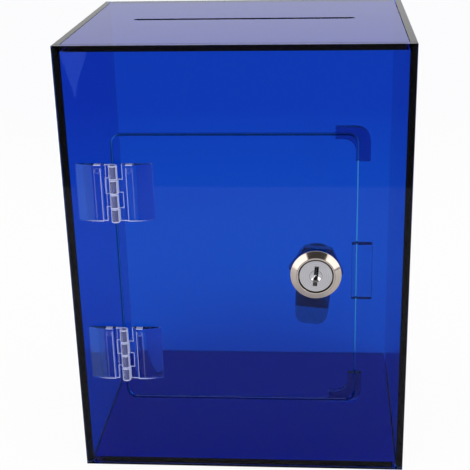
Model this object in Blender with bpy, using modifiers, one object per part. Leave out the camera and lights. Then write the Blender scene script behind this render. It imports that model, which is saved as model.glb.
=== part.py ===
# Acrylic money box: a case of six cemented sheets with a note slot, and a door on two clear
# moulded hinges with a cam lock. Metres, +Z up. The origin is the middle of the base and the
# front faces -Y. The lock is drawn unlocked, with its cam hanging down.

import math

import bmesh
import bpy

# Case and sheet
CASE_WIDTH = 0.150
CASE_DEPTH = 0.120
CASE_HEIGHT = 0.200
SHEET = 0.003
CEMENT_GAP = 0.0003
SHEET_CHAMFER = 0.0001
CUT_OVERRUN = 0.001

# Note slot in the top panel, its middle measured back from the front face
SLOT_END_MARGIN = 0.024
SLOT_WIDTH = 0.0036
SLOT_SETBACK = 0.0635

# Door opening in the front panel, and the cut round the door
OPENING_LEFT_MARGIN = 0.02195
OPENING_RIGHT_MARGIN = 0.02285
OPENING_TOP_MARGIN = 0.0372
OPENING_BOTTOM_MARGIN = 0.0366
OPENING_RADIUS = 0.0045
DOOR_KERF = 0.0007

# Corner stops and keeper plate, cemented behind the front panel
STOP_LENGTH = 0.0148
STOP_LEG_WIDTH = 0.0061
STOP_ARM_WIDTH = 0.0052
STOP_RADIUS = 0.006
STOP_INNER_RADIUS = 0.005
UPPER_STOP_BEYOND = (0.0048, 0.0022)
LOWER_STOP_BEYOND = (0.0027, 0.0019)
KEEPER_WIDTH = 0.009
KEEPER_HEIGHT = 0.026
KEEPER_LAP = 0.0017
KEEPER_RADIUS = 0.0006

# Hinges, measured from the pin's axis outwards
HINGE_WIDTH = 0.033
HINGE_HEIGHT = 0.0254
HINGE_BARREL_RADIUS = 0.0019
HINGE_STANDOFF = 0.0012
HINGE_PIN_RADIUS = 0.001
HINGE_PIN_CLEARANCE = 0.00008
KNUCKLE_COUNT = 4
KNUCKLE_GAP = 0.0003
FOLD_CLEARANCE = 0.0003
LEAF_EDGE = 0.0004
LEAF_START = 0.0036
LEAF_LAND_END = 0.0049
LEAF_RIDGE_START = 0.0055
LEAF_RIDGE_END = 0.0083
LEAF_LAND_DROP = 0.0008
WEB_DROP = 0.0001
WEB_OVERLAP = 0.001
MARK_RADIUS = 0.001
MARK_DEPTH = 0.0002
MARK_INSET = 0.0026
HINGE_ASIDE = 0.00065
UPPER_HINGE_DROP = 0.0255
LOWER_HINGE_RISE = 0.0239

# Cam lock, measured along its axis from the door's front face, and its lean seen from the front
LOCK_EDGE_DISTANCE = 0.01725
LOCK_LEAN = math.radians(5.5)
HOUSING_RADIUS = 0.0092
HOUSING_LENGTH = 0.012
HOUSING_ACROSS_FLATS = 0.016
HOUSING_HOLE_CLEARANCE = 0.0003
BEZEL_FLANGE = 0.0021
BEZEL_HEIGHT = 0.0035
BEZEL_RIM = 0.0013
BEZEL_SHOULDER = 0.0003
LIP_WIDTH = 0.0007
LIP_ROUND = 0.0002
TURNING_CLEARANCE = 0.0001

# Toothed washer and nut behind the door
TOOTH_COUNT = 20
TOOTH_HEIGHT = 0.0005
WASHER_WALL = 0.0012
WASHER_THICKNESS = 0.0009
NUT_WALL = 0.0012
NUT_THICKNESS = 0.0035

# Plug, its keyway and the wafer slots
PLUG_HEAD_RADIUS = 0.0077
PLUG_HEAD_THICKNESS = 0.0016
PLUG_SUNK = 0.0004
PLUG_FACE_RADIUS = 0.00725
PLUG_GROOVE_DEPTH = 0.0009
PLUG_CHAMFER = 0.0001
PLUG_RADIUS = 0.00575
SHANK_WIDTH = 0.006
SHANK_CLEARANCE = 0.0002
KEYWAY_WIDTH = 0.0019
KEYWAY_HEIGHT = 0.0092
KEYWAY_END_WALL = 0.0006
WARD_REACH = 0.0012
WARD_TOP = 0.0001
WARD_BOTTOM = -0.0009
DISH_RADIUS = 0.00265
DISH_DEPTH = 0.0014

# Wafers and their springs
WAFER_COUNT = 5
WAFER_PITCH = 0.002
WAFER_THICKNESS = 0.0007
WAFER_WIDTH = 0.0044
WAFER_END_CLEARANCE = 0.00025
WAFER_SIDE_CLEARANCE = 0.0003
WAFER_FACE_CLEARANCE = 0.00015
WAFER_TRAVEL = 0.0008
WINDOW_WIDTH = 0.0023
WINDOW_HEIGHT = 0.0074
WINDOW_LIFTS = (0.0007, 0.0002, 0.0005, -0.0003, 0.0004)
EAR_WIDTH = 0.0015
EAR_HEIGHT = 0.0008
EAR_BASE = 0.0003
SPRING_RADIUS = 0.00042
SPRING_WIRE_RADIUS = 0.00011
SPRING_LENGTH = 0.0031
SPRING_TURNS = 5
SPRING_GAP = 0.0002

# Stop washer, cam, spring washer and screw on the plug's square shank
STOP_WASHER_RADIUS = 0.008
STOP_WASHER_THICKNESS = 0.0008
TAB_INNER_RADIUS = 0.0066
TAB_WIDTH = 0.003
TAB_LENGTH = 0.0011
TAB_ANGLE = math.radians(135)
TAB_FREEDOM = math.radians(3)
LOCK_TURN = math.radians(90)
RECESS_DEPTH = 0.0014
CAM_THICKNESS = 0.0015
CAM_BASE_RADIUS = 0.0093
CAM_TIP_WIDTH = 0.0144
CAM_TIP_ROUND = 0.005
CAM_REACH = 0.027
CAM_CRANK_START = 0.0138
CAM_CRANK_RUN = 0.005
SPRING_WASHER_RADIUS = 0.0039
SPRING_WASHER_THICKNESS = 0.0008
SPRING_WASHER_SLIT = 0.0006
SCREW_RADIUS = 0.0019
SCREW_CLEARANCE = 0.00015
SCREW_LENGTH = 0.0058
SCREW_HEAD_RADIUS = 0.0036
SCREW_HEAD_HEIGHT = 0.0022
SCREW_HEAD_ROUND_SHARE = 0.55
CROSS_WIDTH = 0.0008
CROSS_LENGTH = 0.004
CROSS_DEPTH = 0.0012

# Facets round a corner, a hinge part, a lock part and a turn of a spring
CORNER_STEPS = 6
CURVE_STEPS = 8
HINGE_STEPS = 28
LOCK_STEPS = 56
SMALL_STEPS = 24
SPRING_STEPS = 8
WELD = 0.000001
SMOOTH_ANGLE = math.radians(35)

# Places worked out from the sizes above
FRONT = -CASE_DEPTH / 2
BACK = CASE_DEPTH / 2
DOOR_BACK = FRONT + SHEET
BEHIND_FRONT = DOOR_BACK + CEMENT_GAP
SLOT_LENGTH = CASE_WIDTH - 2 * SLOT_END_MARGIN
OPENING_LEFT = OPENING_LEFT_MARGIN - CASE_WIDTH / 2
OPENING_RIGHT = CASE_WIDTH / 2 - OPENING_RIGHT_MARGIN
OPENING_TOP = CASE_HEIGHT - OPENING_TOP_MARGIN
OPENING_BOTTOM = OPENING_BOTTOM_MARGIN
OPENING_WIDTH = OPENING_RIGHT - OPENING_LEFT
OPENING_HEIGHT = OPENING_TOP - OPENING_BOTTOM
OPENING_SHIFT = (OPENING_LEFT + OPENING_RIGHT) / 2
OPENING_MIDDLE = (OPENING_TOP + OPENING_BOTTOM) / 2
HINGE_AXIS_HEIGHT = HINGE_STANDOFF + HINGE_BARREL_RADIUS
HINGE_X = OPENING_LEFT + DOOR_KERF / 2 + HINGE_ASIDE
HINGE_Y = FRONT - HINGE_AXIS_HEIGHT
HINGE_PLACES = {
    "upper": OPENING_TOP - UPPER_HINGE_DROP,
    "lower": OPENING_BOTTOM + LOWER_HINGE_RISE,
}
LOCK_X = OPENING_RIGHT - DOOR_KERF - LOCK_EDGE_DISTANCE
LOCK_Z = OPENING_MIDDLE
LOCK_PLACE = (LOCK_X - HINGE_X, FRONT - HINGE_Y, LOCK_Z)
LOCK_AIM = (math.pi / 2, LOCK_LEAN, 0)

# Heights along the lock's axis, positive towards the viewer
PLUG_FACE = BEZEL_HEIGHT - PLUG_SUNK
HEAD_BACK = PLUG_FACE - PLUG_HEAD_THICKNESS
SEAT = HEAD_BACK - CEMENT_GAP
HOUSING_END = -HOUSING_LENGTH
WASHER_TOP = -SHEET - CEMENT_GAP
NUT_TOP = WASHER_TOP - WASHER_THICKNESS - CEMENT_GAP
STOP_WASHER_TOP = HOUSING_END - CEMENT_GAP
CAM_TOP = STOP_WASHER_TOP - STOP_WASHER_THICKNESS - CEMENT_GAP
CAM_TIP_TOP = -(2 * SHEET + 2 * CEMENT_GAP)
SPRING_WASHER_TOP = CAM_TOP - CAM_THICKNESS - CEMENT_GAP
SCREW_SEAT = SPRING_WASHER_TOP - SPRING_WASHER_THICKNESS - CEMENT_GAP
PLUG_END = HOUSING_END - TURNING_CLEARANCE
SHANK_END = CAM_TOP - CAM_THICKNESS
WAFER_SLOT = WAFER_THICKNESS + 2 * WAFER_FACE_CLEARANCE
FIRST_WAFER = HEAD_BACK - WAFER_SLOT - WAFER_FACE_CLEARANCE
LAST_WAFER = FIRST_WAFER - (WAFER_COUNT - 1) * WAFER_PITCH
EAR_SIDE = WAFER_WIDTH / 2 + EAR_WIDTH
SPRING_X = WAFER_WIDTH / 2 + EAR_WIDTH / 2 + WAFER_SIDE_CLEARANCE / 2
SPRING_TOP = EAR_BASE - SPRING_GAP

UPRIGHT = (math.pi / 2, 0, 0)
ALONG_CAM = (math.pi / 2, 0, -math.pi / 2)

BLUE_ACRYLIC = ("blue_acrylic", (0.012, 0.05, 0.55), 0.05, 0.0)
CLEAR_PLASTIC = ("clear_plastic", (0.75, 0.78, 0.85), 0.1, 0.0)
BRIGHT_NICKEL = ("bright_nickel", (0.72, 0.69, 0.64), 0.12, 1.0)
SATIN_NICKEL = ("satin_nickel", (0.6, 0.6, 0.62), 0.35, 1.0)
ZINC_PLATE = ("zinc_plate", (0.55, 0.57, 0.6), 0.3, 1.0)
WAFER_NICKEL = ("wafer_nickel", (0.58, 0.58, 0.57), 0.3, 1.0)
SPRING_STEEL = ("spring_steel", (0.5, 0.5, 0.52), 0.25, 1.0)


def clear_scene():
    for obj in list(bpy.data.objects):
        bpy.data.objects.remove(obj, do_unlink=True)


def new_collection(name):
    collection = bpy.data.collections.new(name)
    bpy.context.scene.collection.children.link(collection)
    return collection


def paint(obj, finish):
    """One material for each object, from (name, colour, roughness, metallic)."""
    name, colour, roughness, metallic = finish
    material = bpy.data.materials.new(f"{obj.name}_{name}")
    material.use_nodes = True
    shader = material.node_tree.nodes["Principled BSDF"]
    shader.inputs["Base Color"].default_value = (*colour, 1)
    shader.inputs["Roughness"].default_value = roughness
    shader.inputs["Metallic"].default_value = metallic
    material.diffuse_color = (*colour, 1)
    obj.data.materials.append(material)


def new_empty(name, location, rotation=(0, 0, 0), parent=None):
    empty = bpy.data.objects.new(name, None)
    empty.location = location
    empty.rotation_euler = rotation
    empty.parent = parent
    parts.objects.link(empty)
    return empty


def set_up(name, mesh, finish, parent, location, rotation):
    """A part, or a cutter where it has no finish."""
    mesh.shade_smooth()
    mesh.set_sharp_from_angle(angle=SMOOTH_ANGLE)
    obj = bpy.data.objects.new(name, mesh)
    obj.parent = parent
    obj.location = location
    obj.rotation_euler = rotation
    if finish:
        parts.objects.link(obj)
        paint(obj, finish)
    else:
        cutters.objects.link(obj)
        obj.hide_render = True
        obj.display_type = "WIRE"
    return obj


def mesh_from(guide):
    """The welded mesh of a curve, or of a profile with a Screw, which is then removed."""
    bpy.context.scene.collection.objects.link(guide)
    graph = bpy.context.evaluated_depsgraph_get()
    mesh = bpy.data.meshes.new_from_object(guide.evaluated_get(graph))
    bpy.data.objects.remove(guide, do_unlink=True)
    shape = bmesh.new()
    shape.from_mesh(mesh)
    bmesh.ops.remove_doubles(shape, verts=shape.verts, dist=WELD)
    bmesh.ops.recalc_face_normals(shape, faces=shape.faces)
    shape.to_mesh(mesh)
    shape.free()
    return mesh


def block(name, size, location, finish=None, parent=None, rotation=(0, 0, 0)):
    shape = bmesh.new()
    bmesh.ops.create_cube(shape, size=1)
    bmesh.ops.scale(shape, vec=size, verts=shape.verts)
    mesh = bpy.data.meshes.new(name)
    shape.to_mesh(mesh)
    shape.free()
    return set_up(name, mesh, finish, parent, location, rotation)


def rod(name, radius, low, high, finish=None, parent=None, place=(0, 0), steps=HINGE_STEPS,
        tip_radius=None):
    """A cylinder along Z from low to high, or a cone that ends at tip_radius."""
    shape = bmesh.new()
    bmesh.ops.create_cone(
        shape, cap_ends=True, segments=steps, radius1=radius,
        radius2=radius if tip_radius is None else tip_radius, depth=high - low,
    )
    mesh = bpy.data.meshes.new(name)
    shape.to_mesh(mesh)
    shape.free()
    return set_up(name, mesh, finish, parent, (*place, (low + high) / 2), (0, 0, 0))


def flat_piece(name, outlines, thickness, finish=None, parent=None, location=(0, 0, 0),
               rotation=(0, 0, 0)):
    """A plate of even thickness; each outline after the first is a hole in it."""
    curve = bpy.data.curves.new(f"{name}_outline", "CURVE")
    curve.dimensions = "2D"
    curve.fill_mode = "BOTH"
    curve.extrude = thickness / 2
    for outline in outlines:
        spline = curve.splines.new("POLY")
        spline.points.add(len(outline) - 1)
        for point, (x, y) in zip(spline.points, outline):
            point.co = (x, y, 0, 1)
        spline.use_cyclic_u = True
    mesh = mesh_from(bpy.data.objects.new(f"{name}_guide", curve))
    return set_up(name, mesh, finish, parent, location, rotation)


def turned(name, profile, finish=None, parent=None, closed=False, steps=LOCK_STEPS):
    """A profile of (radius, height) points, from its top down its outer side, turned about Z."""
    count = len(profile)
    edges = [(i, (i + 1) % count) for i in range(count if closed else count - 1)]
    mesh = bpy.data.meshes.new(f"{name}_profile")
    mesh.from_pydata([(radius, 0, height) for radius, height in profile], edges, [])
    guide = bpy.data.objects.new(f"{name}_guide", mesh)
    screw = guide.modifiers.new("Turn", "SCREW")
    screw.steps = steps
    screw.render_steps = steps
    screw.use_merge_vertices = True
    screw.merge_threshold = WELD
    return set_up(name, mesh_from(guide), finish, parent, (0, 0, 0), (0, 0, 0))


def combine(obj, other, operation="DIFFERENCE"):
    boolean = obj.modifiers.new(other.name, "BOOLEAN")
    boolean.operation = operation
    boolean.solver = "EXACT"
    boolean.object = other


def chamfer(obj, width):
    bevel = obj.modifiers.new("Chamfer", "BEVEL")
    bevel.width = width
    bevel.segments = 1
    bevel.limit_method = "ANGLE"
    bevel.harden_normals = False


def arc(centre, radius, start, end, steps):
    """Points round a centre from one angle to another, both ends included."""
    angles = [start + (end - start) * i / steps for i in range(steps + 1)]
    return [
        (centre[0] + radius * math.cos(a), centre[1] + radius * math.sin(a)) for a in angles
    ]


def circle(radius, steps):
    return arc((0, 0), radius, 0, 2 * math.pi, steps)[:-1]


def rounded_rectangle(width, height, radius, centre=(0, 0), steps=CORNER_STEPS):
    points = []
    for turn, (side, level) in enumerate(((1, 1), (-1, 1), (-1, -1), (1, -1))):
        corner = (
            centre[0] + side * (width / 2 - radius),
            centre[1] + level * (height / 2 - radius),
        )
        start = turn * math.pi / 2
        points += arc(corner, radius, start, start + math.pi / 2, steps)
    return points


def rectangle(width, height, centre=(0, 0)):
    return [
        (centre[0] + side * width / 2, centre[1] + level * height / 2)
        for side, level in ((1, 1), (-1, 1), (-1, -1), (1, -1))
    ]


def make_case():
    inner_depth = CASE_DEPTH - 2 * SHEET - 2 * CEMENT_GAP
    inner_width = CASE_WIDTH - 2 * SHEET - 2 * CEMENT_GAP
    opening = rounded_rectangle(
        OPENING_WIDTH, OPENING_HEIGHT, OPENING_RADIUS,
        (OPENING_SHIFT, OPENING_MIDDLE - CASE_HEIGHT / 2),
    )
    front = flat_piece(
        "front_panel", [rectangle(CASE_WIDTH, CASE_HEIGHT), opening], SHEET, BLUE_ACRYLIC,
        location=(0, FRONT + SHEET / 2, CASE_HEIGHT / 2), rotation=UPRIGHT,
    )
    back = block(
        "back_panel", (CASE_WIDTH, SHEET, CASE_HEIGHT),
        (0, BACK - SHEET / 2, CASE_HEIGHT / 2), BLUE_ACRYLIC,
    )
    sides = [
        block(
            name, (SHEET, inner_depth, CASE_HEIGHT),
            (side * (CASE_WIDTH - SHEET) / 2, 0, CASE_HEIGHT / 2), BLUE_ACRYLIC,
        )
        for name, side in (("left_panel", -1), ("right_panel", 1))
    ]
    slot = rounded_rectangle(
        SLOT_LENGTH, SLOT_WIDTH, SLOT_WIDTH / 2, (0, FRONT + SLOT_SETBACK)
    )
    top = flat_piece(
        "top_panel", [rectangle(inner_width, inner_depth), slot], SHEET, BLUE_ACRYLIC,
        location=(0, 0, CASE_HEIGHT - SHEET / 2),
    )
    bottom = block(
        "bottom_panel", (inner_width, inner_depth, SHEET), (0, 0, SHEET / 2), BLUE_ACRYLIC
    )
    for panel in (front, back, *sides, top, bottom):
        chamfer(panel, SHEET_CHAMFER)


def make_corner_stops():
    """L-shaped plates that the door's free corners close against."""
    for name, level, beyond, corner_z in (
        ("upper_corner_stop", 1, UPPER_STOP_BEYOND, OPENING_TOP),
        ("lower_corner_stop", -1, LOWER_STOP_BEYOND, OPENING_BOTTOM),
    ):
        inner = (-STOP_LEG_WIDTH - STOP_INNER_RADIUS, -STOP_ARM_WIDTH - STOP_INNER_RADIUS)
        outline = [(-STOP_LENGTH, 0)]
        outline += arc((-STOP_RADIUS, -STOP_RADIUS), STOP_RADIUS, math.pi / 2, 0, CORNER_STEPS)
        outline += [(0, -STOP_LENGTH), (-STOP_LEG_WIDTH, -STOP_LENGTH)]
        outline += arc(inner, STOP_INNER_RADIUS, 0, math.pi / 2, CORNER_STEPS)
        outline += [(-STOP_LENGTH, -STOP_ARM_WIDTH)]
        stop = flat_piece(
            name, [[(x, level * y) for x, y in outline]], SHEET, BLUE_ACRYLIC,
            location=(
                OPENING_RIGHT + beyond[0],
                BEHIND_FRONT + SHEET / 2,
                corner_z + level * beyond[1],
            ),
            rotation=UPRIGHT,
        )
        chamfer(stop, SHEET_CHAMFER)


def make_keeper():
    """The plate that the cam's tip turns behind."""
    keeper = flat_piece(
        "keeper_plate", [rounded_rectangle(KEEPER_WIDTH, KEEPER_HEIGHT, KEEPER_RADIUS)],
        SHEET, CLEAR_PLASTIC,
        location=(
            OPENING_RIGHT - DOOR_KERF - KEEPER_LAP + KEEPER_WIDTH / 2,
            BEHIND_FRONT + SHEET / 2,
            LOCK_Z,
        ),
        rotation=UPRIGHT,
    )
    chamfer(keeper, SHEET_CHAMFER)


def make_door():
    outline = rounded_rectangle(
        OPENING_WIDTH - 2 * DOOR_KERF, OPENING_HEIGHT - 2 * DOOR_KERF,
        OPENING_RADIUS - DOOR_KERF,
        (OPENING_SHIFT - HINGE_X, 0),
    )
    hole_radius = HOUSING_RADIUS + HOUSING_HOLE_CLEARANCE
    hole = [(LOCK_X - HINGE_X + x, y + LOCK_Z - OPENING_MIDDLE) for x, y in
            circle(hole_radius, LOCK_STEPS)]
    door = flat_piece(
        "door_panel", [outline, hole], SHEET, BLUE_ACRYLIC, parent=door_axis,
        location=(0, FRONT + SHEET / 2 - HINGE_Y, OPENING_MIDDLE), rotation=UPRIGHT,
    )
    chamfer(door, SHEET_CHAMFER)


def leaf_outline(side):
    """A leaf's section: a thin outer edge that swells to a ridge, then a lower land."""
    ridge = HINGE_AXIS_HEIGHT - FOLD_CLEARANCE
    edge = CEMENT_GAP + LEAF_EDGE
    land = ridge - LEAF_LAND_DROP
    outer = HINGE_WIDTH / 2
    points = [(LEAF_START, CEMENT_GAP), (outer, CEMENT_GAP)]
    for i in range(CURVE_STEPS + 1):
        share = i / CURVE_STEPS
        points.append((
            outer + (LEAF_RIDGE_END - outer) * share,
            edge + (ridge - edge) * math.sin(share * math.pi / 2),
        ))
    points += [(LEAF_RIDGE_START, ridge), (LEAF_LAND_END, land), (LEAF_START, land)]
    return [(side * reach, HINGE_AXIS_HEIGHT - height) for reach, height in points]


def make_leaf(name, side, knuckles, middle, parent):
    """One moulded leaf. Its knuckles are counted from the top of the barrel."""
    ridge = HINGE_AXIS_HEIGHT - FOLD_CLEARANCE
    land = ridge - LEAF_LAND_DROP
    leaf = flat_piece(
        name, [leaf_outline(side)], HINGE_HEIGHT, CLEAR_PLASTIC, parent,
        (0, 0, middle),
    )
    length = (HINGE_HEIGHT - (KNUCKLE_COUNT - 1) * KNUCKLE_GAP) / KNUCKLE_COUNT
    web_low, web_high = HINGE_STANDOFF, land - WEB_DROP
    web_reach = LEAF_START + WEB_OVERLAP
    for number in knuckles:
        high = middle + HINGE_HEIGHT / 2 - (number - 1) * (length + KNUCKLE_GAP)
        web = block(
            f"{name}_web_{number}", (web_reach, web_high - web_low, length),
            (side * web_reach / 2, HINGE_AXIS_HEIGHT - (web_low + web_high) / 2,
             high - length / 2),
            parent=parent,
        )
        knuckle = rod(
            f"{name}_knuckle_{number}", HINGE_BARREL_RADIUS, high - length, high, parent=parent
        )
        combine(leaf, web, "UNION")
        combine(leaf, knuckle, "UNION")
    bore = rod(
        f"{name}_bore", HINGE_PIN_RADIUS + HINGE_PIN_CLEARANCE,
        middle - HINGE_HEIGHT / 2 - CUT_OVERRUN, middle + HINGE_HEIGHT / 2 + CUT_OVERRUN,
        parent=parent,
    )
    combine(leaf, bore)
    mark = rod(
        f"{name}_ejector_mark", MARK_RADIUS, -MARK_DEPTH, CUT_OVERRUN, parent=parent,
        steps=SMALL_STEPS,
    )
    mark.rotation_euler = UPRIGHT
    mark.location = (
        side * (LEAF_RIDGE_START + LEAF_RIDGE_END) / 2,
        HINGE_AXIS_HEIGHT - ridge - (CUT_OVERRUN - MARK_DEPTH) / 2,
        middle + HINGE_HEIGHT / 2 - MARK_INSET,
    )
    combine(leaf, mark)


def make_hinges():
    for place, middle in HINGE_PLACES.items():
        make_leaf(f"{place}_hinge_frame_leaf", -1, (1, 3), middle, frame_axis)
        make_leaf(f"{place}_hinge_door_leaf", 1, (2, 4), middle, door_axis)
        rod(
            f"{place}_hinge_pin", HINGE_PIN_RADIUS, middle - HINGE_HEIGHT / 2,
            middle + HINGE_HEIGHT / 2, CLEAR_PLASTIC, frame_axis,
        )


def make_housing():
    """Bezel and barrel in one, bored for the plug, with pockets that the wafers lift into
    at either end of the lock's quarter turn."""
    head_bore = PLUG_HEAD_RADIUS + TURNING_CLEARANCE
    bore = PLUG_RADIUS + TURNING_CLEARANCE
    bezel = HOUSING_RADIUS + BEZEL_FLANGE
    lip = head_bore + LIP_WIDTH
    profile = [
        (head_bore, BEZEL_HEIGHT - LIP_ROUND),
        (head_bore + LIP_ROUND, BEZEL_HEIGHT),
        (lip - LIP_ROUND, BEZEL_HEIGHT),
        (lip, BEZEL_HEIGHT - LIP_ROUND),
        (bezel - BEZEL_SHOULDER, BEZEL_RIM + BEZEL_SHOULDER),
        (bezel, BEZEL_RIM),
        (bezel, CEMENT_GAP),
        (HOUSING_RADIUS, CEMENT_GAP),
        (HOUSING_RADIUS, HOUSING_END),
        (bore, HOUSING_END),
        (bore, SEAT),
        (head_bore, SEAT),
    ]
    housing = turned("lock_housing", profile, BRIGHT_NICKEL, lock_fixed, closed=True)
    flat_depth = HOUSING_RADIUS - HOUSING_ACROSS_FLATS / 2 + CUT_OVERRUN
    for side, name in ((-1, "left"), (1, "right")):
        flat = block(
            f"housing_{name}_flat",
            (flat_depth, 2 * HOUSING_RADIUS + CUT_OVERRUN, HOUSING_LENGTH + CUT_OVERRUN),
            (side * (HOUSING_ACROSS_FLATS + flat_depth) / 2, 0,
             -(HOUSING_LENGTH + CUT_OVERRUN) / 2),
            parent=lock_fixed,
        )
        combine(housing, flat)
    pocket_height = 2 * (PLUG_RADIUS + WAFER_TRAVEL + WAFER_END_CLEARANCE + TURNING_CLEARANCE)
    pocket_end = LAST_WAFER - WAFER_SLOT
    for name, turn in (("upright", 0), ("level", math.pi / 2)):
        pocket = block(
            f"housing_{name}_pockets",
            (WAFER_WIDTH + 2 * WAFER_SIDE_CLEARANCE, pocket_height,
             SEAT + CUT_OVERRUN - pocket_end),
            (0, 0, (SEAT + CUT_OVERRUN + pocket_end) / 2),
            parent=lock_fixed, rotation=(0, 0, turn),
        )
        combine(housing, pocket)
    half_tab = math.asin(TAB_WIDTH / 2 / TAB_INNER_RADIUS) + TAB_FREEDOM
    start, end = TAB_ANGLE - half_tab, TAB_ANGLE + LOCK_TURN + half_tab
    recess = flat_piece(
        "housing_stop_recess",
        [[(0, 0)] + arc((0, 0), HOUSING_RADIUS + CUT_OVERRUN, start, end, SMALL_STEPS)],
        RECESS_DEPTH + CUT_OVERRUN, parent=lock_fixed,
        location=(0, 0, HOUSING_END + (RECESS_DEPTH - CUT_OVERRUN) / 2),
    )
    combine(housing, recess)


def make_nut_and_washer():
    bore = HOUSING_RADIUS + TURNING_CLEARANCE
    outer = bore + WASHER_WALL
    teeth = []
    for i in range(2 * TOOTH_COUNT):
        angle = math.pi * i / TOOTH_COUNT
        radius = outer + (TOOTH_HEIGHT if i % 2 else 0)
        teeth.append((radius * math.cos(angle), radius * math.sin(angle)))
    flat_piece(
        "lock_toothed_washer", [teeth, circle(bore, LOCK_STEPS)], WASHER_THICKNESS, ZINC_PLATE,
        lock_fixed, (0, 0, WASHER_TOP - WASHER_THICKNESS / 2),
    )
    corner = (bore + NUT_WALL) / math.cos(math.pi / 6)
    nut = flat_piece(
        "lock_nut", [circle(corner, 6), circle(bore, LOCK_STEPS)], NUT_THICKNESS, ZINC_PLATE,
        lock_fixed, (0, 0, NUT_TOP - NUT_THICKNESS / 2),
    )
    chamfer(nut, SHEET_CHAMFER)


def make_plug():
    """The turning core: head, slotted body and the square shank that drives the cam."""
    profile = [
        (0, PLUG_FACE),
        (PLUG_FACE_RADIUS - PLUG_CHAMFER, PLUG_FACE),
        (PLUG_FACE_RADIUS, PLUG_FACE - PLUG_CHAMFER),
        (PLUG_FACE_RADIUS, PLUG_FACE - PLUG_GROOVE_DEPTH),
        (PLUG_HEAD_RADIUS, PLUG_FACE - PLUG_GROOVE_DEPTH),
        (PLUG_HEAD_RADIUS, HEAD_BACK),
        (PLUG_RADIUS, HEAD_BACK),
        (PLUG_RADIUS, PLUG_END),
        (0, PLUG_END),
    ]
    plug = turned("lock_plug", profile, SATIN_NICKEL, lock_axis)
    shank_top = PLUG_END + CUT_OVERRUN
    shank = block(
        "plug_shank", (SHANK_WIDTH, SHANK_WIDTH, shank_top - SHANK_END),
        (0, 0, (shank_top + SHANK_END) / 2), parent=lock_axis,
    )
    combine(plug, shank, "UNION")
    dish = rod(
        "plug_dish", 0, PLUG_FACE - DISH_DEPTH, PLUG_FACE + DISH_DEPTH, parent=lock_axis,
        steps=HINGE_STEPS, tip_radius=2 * DISH_RADIUS,
    )
    combine(plug, dish)
    side, level = KEYWAY_WIDTH / 2, KEYWAY_HEIGHT / 2
    ward = WARD_REACH - side
    outline = [
        (side, level), (-side, level), (-side, WARD_TOP), (ward, WARD_TOP),
        (ward, WARD_BOTTOM), (-side, WARD_BOTTOM), (-side, -level), (side, -level),
    ]
    keyway_end = LAST_WAFER - WAFER_SLOT / 2 - KEYWAY_END_WALL
    keyway = flat_piece(
        "plug_keyway", [outline], PLUG_FACE + CUT_OVERRUN - keyway_end, parent=lock_axis,
        location=(0, 0, (PLUG_FACE + CUT_OVERRUN + keyway_end) / 2),
    )
    combine(plug, keyway)
    pocket_low = SPRING_TOP - SPRING_LENGTH - SPRING_GAP
    pocket_high = EAR_BASE + EAR_HEIGHT + WAFER_TRAVEL + WAFER_SIDE_CLEARANCE
    pocket_side = EAR_SIDE + WAFER_SIDE_CLEARANCE
    spring_room = 2 * (SPRING_RADIUS + SPRING_WIRE_RADIUS + WAFER_FACE_CLEARANCE)
    for number in range(WAFER_COUNT):
        height = FIRST_WAFER - number * WAFER_PITCH
        slot = block(
            f"plug_wafer_slot_{number + 1}",
            (WAFER_WIDTH + 2 * WAFER_SIDE_CLEARANCE, 2 * PLUG_RADIUS + CUT_OVERRUN,
             WAFER_SLOT),
            (0, 0, height), parent=lock_axis,
        )
        combine(plug, slot)
        pocket = block(
            f"plug_spring_pocket_{number + 1}",
            (pocket_side, pocket_high - pocket_low, spring_room),
            (pocket_side / 2, (pocket_high + pocket_low) / 2, height), parent=lock_axis,
        )
        combine(plug, pocket)
    hole_end = SCREW_SEAT + SCREW_LENGTH + CEMENT_GAP
    hole = rod(
        "plug_screw_hole", SCREW_RADIUS + SCREW_CLEARANCE, SHANK_END - CUT_OVERRUN, hole_end,
        parent=lock_axis, steps=SMALL_STEPS,
    )
    combine(plug, hole)


def wafer_outline():
    """Straight sides and ends that follow the plug's round, with an ear for the spring."""
    radius = PLUG_RADIUS - WAFER_END_CLEARANCE
    side = WAFER_WIDTH / 2
    lean = math.asin(side / radius)
    upper = arc((0, 0), radius, math.pi / 2 - lean, math.pi / 2 + lean, CORNER_STEPS)
    lower = arc((0, 0), radius, -math.pi / 2 - lean, -math.pi / 2 + lean, CORNER_STEPS)
    ear = [
        (side, EAR_BASE), (EAR_SIDE, EAR_BASE),
        (EAR_SIDE, EAR_BASE + EAR_HEIGHT), (side, EAR_BASE + EAR_HEIGHT),
    ]
    return upper + lower + ear


def make_wafers():
    for number in range(WAFER_COUNT):
        height = FIRST_WAFER - number * WAFER_PITCH
        window = rectangle(WINDOW_WIDTH, WINDOW_HEIGHT, (0, WINDOW_LIFTS[number]))
        flat_piece(
            f"wafer_{number + 1}", [wafer_outline(), window], WAFER_THICKNESS, WAFER_NICKEL,
            lock_axis, (0, 0, height),
        )
        make_spring(f"wafer_spring_{number + 1}", height)


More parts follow.
